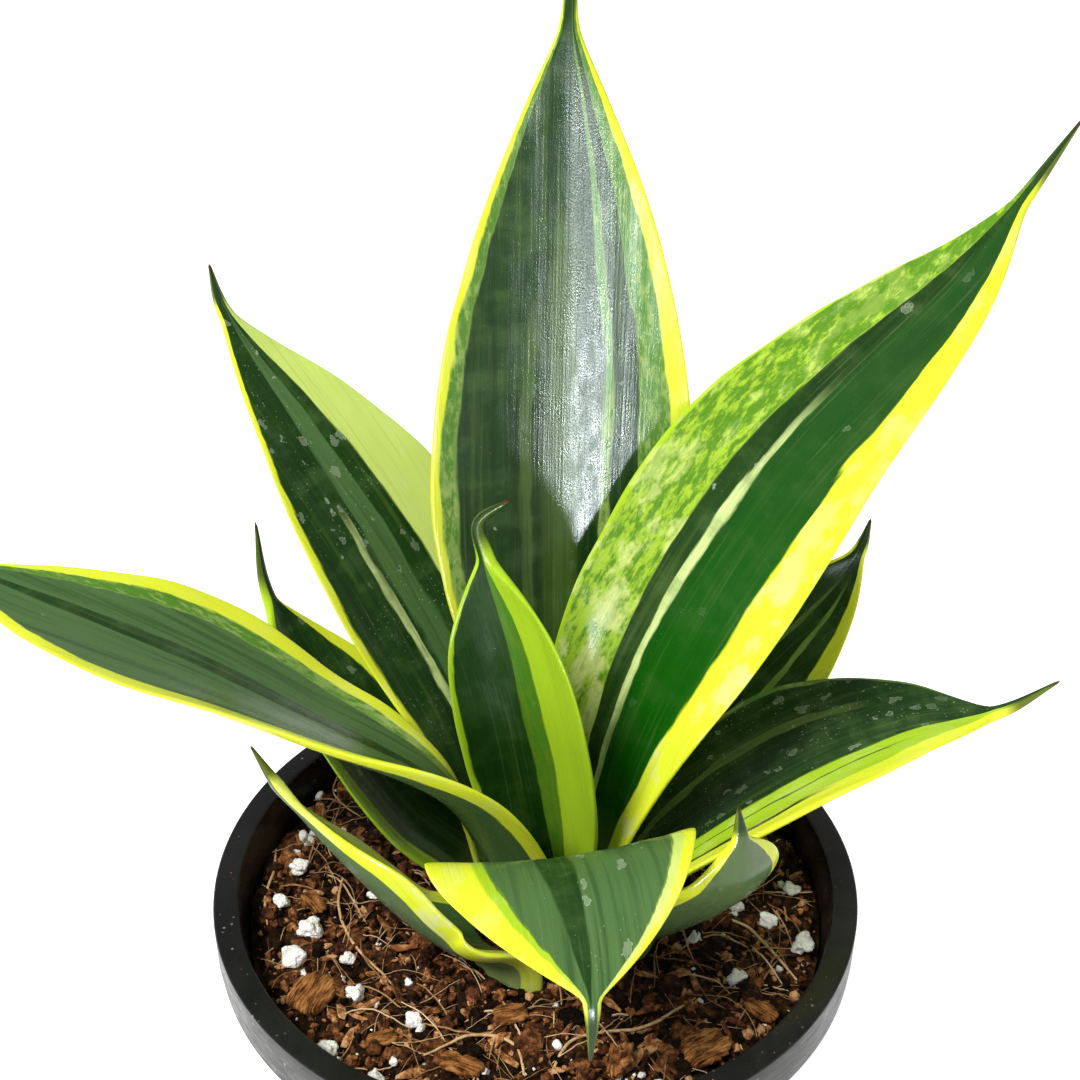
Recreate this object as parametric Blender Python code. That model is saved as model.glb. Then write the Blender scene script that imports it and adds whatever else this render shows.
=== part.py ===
"""A young variegated snake plant in a black plastic nursery pot.

Metres, +Z up. The origin is the middle of the pot's flat base, on the surface it stands on.
The leaves' numbers are millimetres and degrees: 0 is right (+X), 90 is back (+Y).
"""

import math
import random
from typing import NamedTuple

import bmesh
import bpy
import numpy as np

MM = 0.001
GAP = 0.3  # left between pieces that touch

# The pot, a turned shape.
RIM_RADIUS = 55.0
POT_HEIGHT = 90.0
WALL = 1.2
BASE_RADIUS = 39.5
WALL_TOP_RADIUS = 52.0
SKIRT_DEPTH = 9.0
FLOOR = 1.6
POT_STEPS = 64
DRAIN_HOLES = 6
DRAIN_RADIUS = 3.5
DRAIN_RING = 27.0

# The potting mix, and the middle of the plant in it.
MIX_TOP = 83.0
HOLLOW_FLOOR = 80.0
CROWN = (4.5, -3.0)
FOOT_Z = 81.0

# How finely a leaf is built.
BLADE_STATIONS = 12
THORN_STATIONS = 3
ACROSS = 9
LEAF_THICKNESS = 2.4
THORN_RADIUS = 1.3


class Leaf(NamedTuple):
    """One leaf. Its middle line stands on its foot, then runs through the blade's and the thorn's points."""

    name: str
    foot_azimuth: float
    foot_radius: float  # of the foot's arc round the crown
    foot_half: float  # half the width of the foot
    half: float  # half the width where the leaf is widest
    heading: float  # the way its upper side faces away from
    blade: tuple
    thorn: tuple
    curl: tuple  # half angle of the channel, in radians, halfway and at the tip
    widest: float = 0.5
    swell: float = 1.2
    taper: float = 1.9
    roll: tuple = (0, 0, 0)  # at the foot, the middle and the tip
    roll_middle: float = 0.5


LEAVES = (
    Leaf("leaf_centre_back", 88, 10.4, 9.5, 22, 92,
         blade=((4, 17, 110), (3.5, 26, 150), (4, 31, 190), (4, 33, 225)),
         thorn=((4.5, 34, 236),), curl=(0.4, 0.3), swell=2.2),
    Leaf("leaf_upper_right", 52, 6.8, 6.5, 18, 62,
         blade=((16, 6, 121), (38, 16, 160), (66, 28, 187), (76, 35, 198)),
         thorn=((85, 41, 209),), curl=(0.5, 0.3), widest=0.48, swell=1.3),
    Leaf("leaf_upper_left", 132, 13.8, 9, 17.5, 128,
         blade=((-9, 18.5, 104), (-22, 29.5, 128), (-38, 38, 152), (-54, 45, 174)),
         thorn=((-56, 46, 182),), curl=(0.45, 0.3), widest=0.48),
    Leaf("leaf_long_left", 225, 9.6, 9.2, 20, 175,
         blade=((-12, -9, 110), (-38, -5, 125), (-66, -1, 138), (-93, 4, 147)),
         thorn=((-101, 4, 149),), curl=(0.45, 0.3), widest=0.62, swell=2.6, taper=1.7,
         roll=(0, -24, 0), roll_middle=0.3),
    Leaf("leaf_low_left", 151, 17.5, 9, 14, 155,
         blade=((-22, 9, 95), (-35, 16, 111), (-46.5, 23, 130)),
         thorn=((-48, 25, 144),), curl=(0.8, 0.5)),
    Leaf("leaf_front_left", 225, 18.4, 11, 11, 200,
         blade=((-17, -17, 91), (-29, -17, 105), (-40, -15, 120)),
         thorn=((-44, -13, 126),), curl=(0.9, 0.5), widest=0.4, roll=(0, -18, -15)),
    Leaf("leaf_front", 268, 13.6, 8.5, 20.5, 270,
         blade=((4, -19.5, 97), (4, -26.5, 115), (6, -37, 118), (8, -49, 110)),
         thorn=((8, -51, 100),), curl=(0.2, 0.3), widest=0.6, swell=1.6, roll=(0, -8, -5)),
    Leaf("leaf_front_right", 319, 16.6, 8, 11, 315,
         blade=((22, -17.5, 93), (28, -22, 102), (31, -25, 110), (30.5, -25, 119)),
         thorn=((30, -24, 124),), curl=(0.6, 0.5), widest=0.7, roll=(0, 22, 10)),
    Leaf("leaf_young", 100, 2.6, 3, 12.5, 75,
         blade=((3, -2.5, 98), (0.5, -2, 115), (-3.5, -1.5, 135), (-8, -1, 153)),
         thorn=((-9, -1, 159), (-4, -1, 163)), curl=(1.0, 0.8), widest=0.55),
    Leaf("leaf_back_right", 64, 16.4, 8.5, 16, 75,
         blade=((22, 21, 97), (40, 30, 112), (54, 37, 124), (58.5, 39, 131)),
         thorn=((60, 40, 137),), curl=(0.6, 0.4), widest=0.45),
    Leaf("leaf_right", 8, 13.4, 9.5, 17, 5,
         blade=((24, 1.5, 93), (45, 5, 108.5), (64, 8, 115.5), (78, 9, 117)),
         thorn=((88, 10, 123),), curl=(0.6, 0.3), swell=1.5),
)

# x, y, width of each grain of perlite that lies on the mix.
PERLITE = (
    (-42, 5, 4.0), (-42, 13, 3.2), (-44, -4, 3.4), (-28, -1, 3.2), (-38, -10, 4.6), (-40, -16, 5.0),
    (-31, -16, 3.0), (-29, -24, 3.4), (-32, -35, 3.6), (-24, -40, 3.0), (-19, -29, 3.2), (45, 0, 3.6),
    (40, -7, 3.4), (35, -3, 3.0), (45, -12, 4.6), (27, -11, 3.0), (33, -20, 3.8), (19, -42, 3.4),
)

# x, y, heading, length, width, thickness of each chip of bark.
BARK_CHIPS = (
    (-36, -24.5, 60, 10.5, 8.5, 2.6), (27, -34, 30, 10, 7, 2.4), (-41, 19, 100, 7, 5, 2.0),
    (-24, -33, 20, 6, 3.5, 1.8), (-4, -28, 15, 7, 4.5, 2.0), (13, -37, 80, 8, 4, 2.0),
    (-38.5, -3.5, 130, 7, 3.5, 1.8), (36, -26.5, 140, 7, 4, 2.0), (-11, -38, 160, 9, 4.5, 2.2),
    (40, 12, 70, 8, 4.5, 2.0), (-20, 35, 30, 8, 5, 2.0), (24, 38, 110, 7, 4.5, 2.0),
)

# The points each coir fibre lies through.
COIR_FIBRES = (
    ((-47, 10), (-46.5, 4), (-47, -2), (-45.5, -9)),
    ((-34, 5), (-34, -4), (-31, -12), (-23, -22)),
    ((-17, -36), (-9, -32), (-3, -34), (-1, -43)),
    ((1, -46), (6, -33), (18, -30), (26, -24)),
    ((43, -20), (40, -14), (36, -8), (31, -5)),
    ((-28, 32), (-16, 42), (0, 44), (13, 41)),
)
FIBRE_RADIUS = 0.4


def clear_scene():
    for obj in list(bpy.data.objects):
        bpy.data.objects.remove(obj)


def material(name, colour, roughness):
    mat = bpy.data.materials.new(name)
    mat.use_nodes = True
    shader = mat.node_tree.nodes["Principled BSDF"]
    shader.inputs["Base Color"].default_value = (*colour, 1)
    shader.inputs["Roughness"].default_value = roughness
    shader.inputs["Metallic"].default_value = 0
    return mat


def add_object(name, mesh, mat, sharp_angle=math.radians(40)):
    obj = bpy.data.objects.new(name, mesh)
    bpy.context.scene.collection.objects.link(obj)
    mesh.materials.append(mat)
    mesh.shade_smooth()
    mesh.set_sharp_from_angle(angle=sharp_angle)
    return obj


def skin(name, rings, start=None, end=None):
    """A closed mesh through equal rings of points in millimetres. An end is one point, or a flat cap if None."""
    mesh = bpy.data.meshes.new(name)
    bm = bmesh.new()
    loops = [[bm.verts.new(np.array(point) * MM) for point in ring] for ring in rings]
    count = len(loops[0])
    for low, high in zip(loops, loops[1:]):
        for i in range(count):
            j = (i + 1) % count
            bm.faces.new((low[i], low[j], high[j], high[i]))
    for loop, tip in ((loops[0], start), (loops[-1], end)):
        if tip is None:
            bm.faces.new(loop)
            continue
        point = bm.verts.new(np.array(tip) * MM)
        for i in range(count):
            bm.faces.new((loop[i], loop[(i + 1) % count], point))
    bmesh.ops.recalc_face_normals(bm, faces=bm.faces)
    bm.to_mesh(mesh)
    bm.free()
    return mesh


# --- leaves ---------------------------------------------------------------------------------


def smooth_curve(points, steps=40):
    """A centripetal Catmull-Rom curve through the points, with `steps` points to a span."""
    points = np.array(points, float)
    points = np.vstack([2 * points[0] - points[1], points, 2 * points[-1] - points[-2]])
    spans = []
    for p0, p1, p2, p3 in zip(points, points[1:], points[2:], points[3:]):
        t1 = math.sqrt(np.linalg.norm(p1 - p0))
        t2 = t1 + math.sqrt(np.linalg.norm(p2 - p1))
        t3 = t2 + math.sqrt(np.linalg.norm(p3 - p2))
        t = np.linspace(t1, t2, steps, endpoint=False)[:, None]
        a1 = (t1 - t) / t1 * p0 + t / t1 * p1
        a2 = (t2 - t) / (t2 - t1) * p1 + (t - t1) / (t2 - t1) * p2
        a3 = (t3 - t) / (t3 - t2) * p2 + (t - t2) / (t3 - t2) * p3
        b1 = (t2 - t) / t2 * a1 + t / t2 * a2
        b2 = (t3 - t) / (t3 - t1) * a2 + (t - t1) / (t3 - t1) * a3
        spans.append((t2 - t) / (t2 - t1) * b1 + (t - t1) / (t2 - t1) * b2)
    return np.vstack([*spans, points[-2]])


def ease(x):
    x = np.clip(x, 0, 1)
    return x * x * (3 - 2 * x)


def three_way(values, t, middle):
    """Eases from the first value to the second at `middle`, then to the third at 1."""
    first, second, third = values
    rise = first + (second - first) * ease(t / middle)
    return np.where(t < middle, rise, second + (third - second) * ease((t - middle) / (1 - middle)))


def foot_of(leaf):
    azimuth = math.radians(leaf.foot_azimuth)
    x = CROWN[0] + leaf.foot_radius * math.cos(azimuth)
    y = CROWN[1] + leaf.foot_radius * math.sin(azimuth)
    return x, y, FOOT_Z


def middle_line(leaf):
    """Points, directions, place along the blade and place along the thorn of every station."""
    foot = np.array(foot_of(leaf))
    stand = foot + (0, 0, 5)
    steps = 40
    curve = smooth_curve([foot, stand, *leaf.blade, *leaf.thorn], steps)
    run = np.concatenate([[0], np.cumsum(np.linalg.norm(np.diff(curve, axis=0), axis=1))])
    blade_length = run[steps * (len(leaf.blade) + 1)]
    thorn_length = run[-1] - blade_length
    along_thorn = np.linspace(0, 1, THORN_STATIONS + 1)[1:]
    stations = np.concatenate([
        np.linspace(0, 1, BLADE_STATIONS + 1) * blade_length,
        blade_length + along_thorn * thorn_length,
    ])

    def at(distance):
        return np.stack([np.interp(distance, run, curve[:, axis]) for axis in range(3)], axis=1)

    direction = at(stations + 0.8) - at(stations - 0.8)
    direction /= np.linalg.norm(direction, axis=1)[:, None]
    t = np.minimum(stations / blade_length, 1)
    q = np.clip((stations - blade_length) / thorn_length, 0, 1)
    return at(stations), direction, t, q


def half_widths(leaf, t, thorn_radius):
    rise = np.sin(np.pi / 2 * np.clip(t / leaf.widest, 0, 1)) ** leaf.swell
    narrowing = np.clip((t - leaf.widest) / (1 - leaf.widest), 0, 1) ** leaf.taper
    lower = leaf.foot_half + (leaf.half - leaf.foot_half) * rise
    blade = np.where(t < leaf.widest, lower, leaf.half * (1 - narrowing))
    return np.sqrt(blade**2 + thorn_radius**2)


def leaf_mesh(leaf):
    points, direction, t, q = middle_line(leaf)
    turn = ease(t / 0.45)
    heading = np.radians(leaf.foot_azimuth + (leaf.heading - leaf.foot_azimuth) * turn)
    side = np.stack([np.sin(heading), -np.cos(heading), 0 * heading], axis=1)
    side -= (side * direction).sum(axis=1)[:, None] * direction
    side /= np.linalg.norm(side, axis=1)[:, None]
    up = np.cross(side, direction)
    roll = np.radians(three_way(leaf.roll, t, leaf.roll_middle))[:, None]
    side, up = side * np.cos(roll) + up * np.sin(roll), up * np.cos(roll) - side * np.sin(roll)

    thorn_radius = THORN_RADIUS * (1 - 0.85 * q)
    width = half_widths(leaf, t, thorn_radius)[:, None]
    curl = three_way((leaf.foot_half / leaf.foot_radius, *leaf.curl), t, 0.5)
    curl = np.maximum(curl * (1 - 0.9 * q), 0.001)[:, None]
    across = np.sin(np.linspace(-np.pi / 2, np.pi / 2, ACROSS))
    angle = curl * across
    out = (width * np.sin(angle) / curl)[..., None]
    lift = (width * (1 - np.cos(angle)) / curl)[..., None]
    sheet = points[:, None] + side[:, None] * out + up[:, None] * lift
    normal = up[:, None] * np.cos(angle)[..., None] - side[:, None] * np.sin(angle)[..., None]

    blade_half = LEAF_THICKNESS / 2 * (1 - 0.45 * ease(t))
    to_thorn = ease((t - 0.85) / 0.15)
    half = blade_half * (1 - to_thorn) + 0.8 * thorn_radius * to_thorn
    edge = (1 - np.abs(across) ** 2.6) ** (1 / 2.6)
    depth = (half[:, None] * edge)[..., None]
    upper = sheet + normal * depth
    lower = (sheet - normal * depth)[:, -2:0:-1]
    rings = np.concatenate([upper, lower], axis=1)
    return skin(leaf.name, rings[:-1], end=points[-1])


# --- pot and potting mix --------------------------------------------------------------------


def pot_profile():
    """Radius and height from the axis over the inside of the pot, over the rim and down its outside."""
    inside_top = WALL_TOP_RADIUS - WALL
    skirt_inside = RIM_RADIUS - WALL
    skirt_foot = POT_HEIGHT - SKIRT_DEPTH
    return (
        (0, FLOOR),
        (BASE_RADIUS - WALL - 1.5, FLOOR),
        (BASE_RADIUS - WALL, FLOOR + 1.5),
        (inside_top, POT_HEIGHT - 0.6),
        (inside_top + 0.6, POT_HEIGHT),
        (RIM_RADIUS - 0.6, POT_HEIGHT),
        (RIM_RADIUS, POT_HEIGHT - 0.6),
        (RIM_RADIUS, skirt_foot),
        (skirt_inside, skirt_foot),
        (skirt_inside, POT_HEIGHT - WALL),
        (WALL_TOP_RADIUS, POT_HEIGHT - WALL),
        (BASE_RADIUS, 1.5),
        (BASE_RADIUS - 1.5, 0),
        (0, 0),
    )


def inside_radius(z):
    """The pot's inside radius at height z."""
    low, high = FLOOR + 1.5, POT_HEIGHT - 0.6
    share = (z - low) / (high - low)
    return (BASE_RADIUS + (WALL_TOP_RADIUS - BASE_RADIUS) * share) - WALL


def make_drain_cutter():
    mesh = bpy.data.meshes.new("drain_cutter")
    bm = bmesh.new()
    for k in range(DRAIN_HOLES):
        made = bmesh.ops.create_cone(
            bm, cap_ends=True, segments=12, radius1=DRAIN_RADIUS * MM, radius2=DRAIN_RADIUS * MM, depth=4 * FLOOR * MM
        )
        angle = 2 * math.pi * k / DRAIN_HOLES
        shift = (DRAIN_RING * math.cos(angle) * MM, DRAIN_RING * math.sin(angle) * MM, 0)
        bmesh.ops.translate(bm, verts=made["verts"], vec=shift)
    bm.to_mesh(mesh)
    bm.free()
    cutter = bpy.data.objects.new("drain_cutter", mesh)
    bpy.context.scene.collection.objects.link(cutter)
    cutter.hide_render = True
    cutter.display_type = "WIRE"
    return cutter


def make_pot(mat):
    mesh = bpy.data.meshes.new("pot")
    points = [(radius * MM, 0, z * MM) for radius, z in pot_profile()]
    mesh.from_pydata(points, [(i, i + 1) for i in range(len(points) - 1)], [])
    pot = bpy.data.objects.new("pot", mesh)
    bpy.context.scene.collection.objects.link(pot)
    mesh.materials.append(mat)
    turned = pot.modifiers.new("turned", "SCREW")
    turned.steps = turned.render_steps = POT_STEPS
    turned.use_merge_vertices = True
    turned.merge_threshold = 0.0001
    turned.use_smooth_shade = True
    drains = pot.modifiers.new("drains", "BOOLEAN")
    drains.operation = "DIFFERENCE"
    drains.object = make_drain_cutter()
    return pot


def mix_height(x, y):
    """The gently uneven top of the potting mix, in millimetres."""
    broad = 0.5 * math.sin(x / 7 + 1) * math.cos(y / 6)
    fine = 0.3 * math.sin((x + 2 * y) / 5)
    return MIX_TOP + broad + fine


def hollow_radius(azimuth):
    """How far the hollow that the leaves' feet stand in reaches from the crown this way."""
    reach = 12.0
    for leaf in LEAVES:
        half_angle = math.degrees(leaf.foot_half / leaf.foot_radius) + 8
        away = abs((azimuth - leaf.foot_azimuth + 180) % 360 - 180)
        if away < half_angle:
            reach = max(reach, leaf.foot_radius + LEAF_THICKNESS / 2 + 1.6)
    return reach


def make_potting_mix(mat):
    azimuths = [360 * k / POT_STEPS for k in range(POT_STEPS)]
    radii = [hollow_radius(azimuth) for azimuth in azimuths]
    hollow, lip = [], []
    for azimuth, radius in zip(azimuths, radii):
        turn = math.radians(azimuth)
        spread = (math.cos(turn), math.sin(turn))
        x, y = (CROWN[i] + radius * spread[i] for i in range(2))
        hollow.append((x, y, HOLLOW_FLOOR))
        x, y = (CROWN[i] + (radius + 0.8) * spread[i] for i in range(2))
        lip.append((x, y, mix_height(x, y)))

    def circle(radius, z=None):
        ring = []
        for azimuth in azimuths:
            x, y = radius * math.cos(math.radians(azimuth)), radius * math.sin(math.radians(azimuth))
            ring.append((x, y, mix_height(x, y) if z is None else z))
        return ring

    edge = circle(inside_radius(MIX_TOP - 1) - 2 * GAP)
    rings = [hollow, lip]
    for share in (0.25, 0.5, 0.75):
        ring = []
        for inner, outer in zip(lip, edge):
            x, y = (inner[i] + (outer[i] - inner[i]) * share for i in range(2))
            ring.append((x, y, mix_height(x, y)))
        rings.append(ring)
    rings.append(edge)
    rings.append(circle(inside_radius(FLOOR + 1.5) - 2 * GAP, FLOOR + 2))
    rings.append(circle(BASE_RADIUS - WALL - 2.5, FLOOR + GAP))
    mesh = skin("potting_mix", rings, start=(*CROWN, HOLLOW_FLOOR), end=(0, 0, FLOOR + GAP))
    return add_object("potting_mix", mesh, mat)


# --- what lies on the mix -------------------------------------------------------------------


def top_under(x, y, reach):
    """The highest point of the mix within `reach` of x, y."""
    around = [(x, y)]
    for k in range(12):
        angle = math.tau * k / 12
        around.append((x + reach * math.cos(angle), y + reach * math.sin(angle)))
    return max(mix_height(*point) for point in around)


def make_perlite(number, x, y, width, mat):
    """A lumpy, slightly flattened white grain."""
    name = f"perlite_{number:02d}"
    rng = random.Random(number)
    half = width / 2
    flat = 0.72
    mesh = bpy.data.meshes.new(name)
    bm = bmesh.new()
    bmesh.ops.create_icosphere(bm, subdivisions=2, radius=half * MM)
    for vert in bm.verts:
        vert.co *= rng.uniform(0.84, 1.0)
        vert.co.z *= flat
    bm.to_mesh(mesh)
    bm.free()
    grain = add_object(name, mesh, mat)
    z = top_under(x, y, half) + 1.2 * GAP + half * flat
    grain.location = (x * MM, y * MM, z * MM)
    grain.rotation_euler.z = rng.uniform(0, math.tau)


def make_bark_chip(number, place, mat):
    """A flat flake of bark with a broken outline and bevelled, uneven sides."""
    x, y, heading, length, width, thickness = place
    name = f"bark_chip_{number:02d}"
    rng = random.Random(100 + number)
    corners = 8
    rings = [[], [], []]
    for k in range(corners):
        angle = math.tau * k / corners
        reach = rng.uniform(0.82, 1.0)
        for ring, (share, height) in zip(rings, ((0.86, 0.0), (1.0, 0.45), (0.8, 1.0))):
            lift = 0 if height == 0 else rng.uniform(-0.15, 0)
            point = (length / 2 * math.cos(angle), width / 2 * math.sin(angle))
            ring.append((point[0] * reach * share, point[1] * reach * share, (height + lift) * thickness))
    chip = add_object(name, skin(name, rings), mat, sharp_angle=math.radians(20))
    z = top_under(x, y, length / 2) + GAP
    chip.location = (x * MM, y * MM, z * MM)
    chip.rotation_euler.z = math.radians(heading)


def make_coir_fibre(number, route, mat):
    """A thin wiry strand that lies along the top of the mix."""
    name = f"coir_fibre_{number:02d}"
    flat_route = [(x, y, 0) for x, y in route]
    points = smooth_curve(flat_route, steps=4)
    curve = bpy.data.curves.new(name, "CURVE")
    curve.dimensions = "3D"
    curve.bevel_depth = FIBRE_RADIUS * MM
    curve.bevel_resolution = 1
    curve.use_fill_caps = True
    spline = curve.splines.new("POLY")
    spline.points.add(len(points) - 1)
    for point, (x, y, _) in zip(spline.points, points):
        z = top_under(x, y, 2) + 1.5 * GAP + FIBRE_RADIUS
        point.co = (x * MM, y * MM, z * MM, 1)
    curve.materials.append(mat)
    fibre = bpy.data.objects.new(name, curve)
    bpy.context.scene.collection.objects.link(fibre)


def main():
    clear_scene()
    make_pot(material("black_plastic", (0.015, 0.016, 0.018), 0.45))
    make_potting_mix(material("potting_mix", (0.055, 0.03, 0.018), 0.95))
    green = material("leaf", (0.13, 0.24, 0.06), 0.35)
    for leaf in LEAVES:
        add_object(leaf.name, leaf_mesh(leaf), green)
    white = material("perlite", (0.8, 0.79, 0.74), 0.9)
    for number, (x, y, width) in enumerate(PERLITE, 1):
        make_perlite(number, x, y, width, white)
    brown = material("bark", (0.2, 0.085, 0.035), 0.9)
    for number, place in enumerate(BARK_CHIPS, 1):
        make_bark_chip(number, place, brown)
    tan = material("coir", (0.42, 0.27, 0.14), 0.85)
    for number, route in enumerate(COIR_FIBRES, 1):
        make_coir_fibre(number, route, tan)


main()
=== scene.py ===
"""The look of a potted snake plant: fine leaves, potting mix and pot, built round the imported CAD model.

Metres, +Z up, in the model's own frame. Numbers of leaves and grains are millimetres and degrees,
as in the part: 0 degrees is right (+X) and 90 is back (+Y).
"""

import math
import random
from typing import NamedTuple

import bmesh
import bpy
import numpy as np
from mathutils import Matrix, Vector, noise


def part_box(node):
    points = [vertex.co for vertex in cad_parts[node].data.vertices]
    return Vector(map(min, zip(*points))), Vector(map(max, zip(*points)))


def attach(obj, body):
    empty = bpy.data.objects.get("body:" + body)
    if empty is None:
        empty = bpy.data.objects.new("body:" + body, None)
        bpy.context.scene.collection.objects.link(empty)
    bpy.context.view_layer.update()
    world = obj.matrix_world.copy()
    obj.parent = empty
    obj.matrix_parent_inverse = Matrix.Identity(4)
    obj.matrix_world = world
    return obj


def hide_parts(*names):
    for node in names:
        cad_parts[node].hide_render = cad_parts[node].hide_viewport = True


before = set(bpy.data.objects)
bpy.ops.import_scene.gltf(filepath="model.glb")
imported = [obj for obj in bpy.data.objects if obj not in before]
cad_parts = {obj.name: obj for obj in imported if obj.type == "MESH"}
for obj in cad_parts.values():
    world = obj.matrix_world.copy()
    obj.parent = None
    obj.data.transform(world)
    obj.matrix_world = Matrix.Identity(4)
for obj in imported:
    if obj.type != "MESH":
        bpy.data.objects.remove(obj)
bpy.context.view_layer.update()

MM = 0.001

# The pot's sections and the mix's top, as in the part.
WALL = 1.2
BASE_RADIUS = 39.5
WALL_TOP_RADIUS = 52.0
SKIRT_DEPTH = 9.0
FLOOR = 1.6
DRAIN_HOLES = 6
DRAIN_RADIUS = 3.5
DRAIN_RING = 27.0
MIX_TOP = 83.0
CROWN = (4.5, -3.0)
FOOT_Z = 81.0

# How many grains and chips the part has, and how much finer litter lies with them.
PERLITE_GRAINS = 18
BARK_CHIPS = 12
CRUMBS = 5200
CLODS = 460
SPLINTERS = 620
HAIRS = 380
WHITE_CRUMBS = 230
DUST_SPECKS = 90

# How finely a leaf is built, and its thickness.
BLADE_STATIONS = 84
THORN_STATIONS = 14
ACROSS = 41
LEAF_THICKNESS = 2.4
THORN_RADIUS = 1.3


class Leaf(NamedTuple):
    """One leaf: the part's shape, then how it is striped from its margin at across = 0 to the other at 1."""

    name: str
    foot_azimuth: float
    foot_radius: float  # of the foot's arc round the crown
    foot_half: float  # half the width of the foot
    half: float  # half the width where the leaf is widest
    heading: float  # the way its upper side faces away from
    blade: tuple
    thorn: tuple
    curl: tuple  # half angle of the channel, in radians, halfway and at the tip
    stripes: tuple  # where each stripe begins, and its tint
    lines: tuple = ()  # middle, half width, start and end along the leaf, tint
    # The spots' amount also sets how many specks of dust and painted glints show.
    spots: tuple = (0.12, 0.6)  # how many dried water marks, and where along the leaf
    cream: float = 0.22  # how strong the creamy clouds on the pale stripes are
    # The default underside green is darkened as painted shade.
    back: tuple = ((0.045, 0.085, 0.032), 0.5)  # the underside's colour and how much of it shows
    widest: float = 0.5
    swell: float = 1.2
    taper: float = 1.9
    roll: tuple = (0, 0, 0)  # at the foot, the middle and the tip
    roll_middle: float = 0.5


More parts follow.
